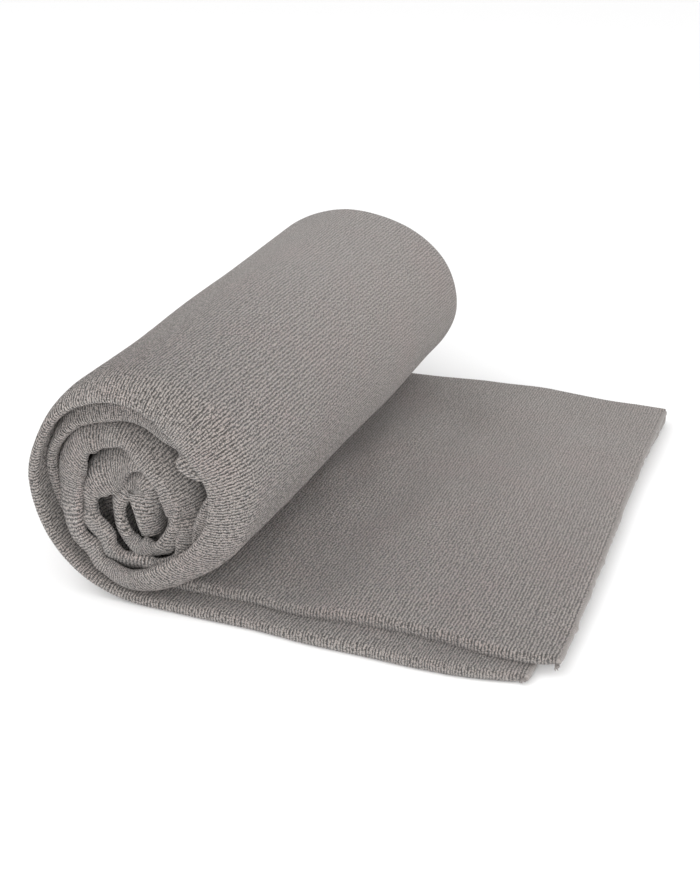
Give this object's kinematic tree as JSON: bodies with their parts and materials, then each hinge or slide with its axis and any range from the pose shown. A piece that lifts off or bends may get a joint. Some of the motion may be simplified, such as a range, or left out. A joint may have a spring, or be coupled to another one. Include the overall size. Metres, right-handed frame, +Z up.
{
  "type": "quick dry towel",
  "caption": "Plush grey travel towel folded in half lengthwise and rolled up from one end, with a flat two-ply tail left unrolled that lifts off the floor.",
  "frame": {"origin": "centre of the footprint, on the surface the towel lies on", "axes": "+Z up; +X from the roll towards the free end of the tail; +Y along the roll from the open long edges to the lengthwise fold"},
  "size_m": [0.281, 0.313, 0.1294],
  "materials": {
    "terry_pile": "thick matte terry pile in rows, warm mid grey",
    "end_hem": "flat overlocked strip with no pile, warm mid grey",
    "overlock_thread": "fine matte thread, warm mid grey"
  },
  "bodies": {
    "roll": {"core_fold_inner_ply": "terry_pile", "core_fold_outer_ply": "terry_pile", "core_inner_end_hem": "end_hem", "core_outer_end_hem": "end_hem", "roll_core_inner_ply": "terry_pile", "roll_core_outer_ply": "terry_pile", "roll_inner_ply_side_hem": "terry_pile", "roll_inner_turn_inner_ply": "terry_pile", "roll_inner_turn_outer_ply": "terry_pile", "roll_lengthwise_fold": "terry_pile", "roll_middle_turn_inner_ply": "terry_pile", "roll_middle_turn_outer_ply": "terry_pile", "roll_outer_ply_side_hem": "terry_pile", "roll_outer_turn_inner_ply": "terry_pile", "roll_outer_turn_outer_ply": "terry_pile", "underlay_lower_ply": "terry_pile", "underlay_upper_ply": "terry_pile"},
    "tail": {"lower_thread_tail": "overlock_thread", "tail_lengthwise_fold": "terry_pile", "tail_lower_end_hem": "end_hem", "tail_lower_ply": "terry_pile", "tail_lower_side_hem": "terry_pile", "tail_upper_end_hem": "end_hem", "tail_upper_ply": "terry_pile", "tail_upper_side_hem": "terry_pile", "upper_thread_tail": "overlock_thread"}
  },
  "joints": [
    {"name": "tail_lift", "type": "hinge", "parent": "roll", "child": "tail", "pos_m": [-0.0235, 0, 0.005], "axis": [0, -1, 0], "range_deg": [0, 55]}
  ]
}
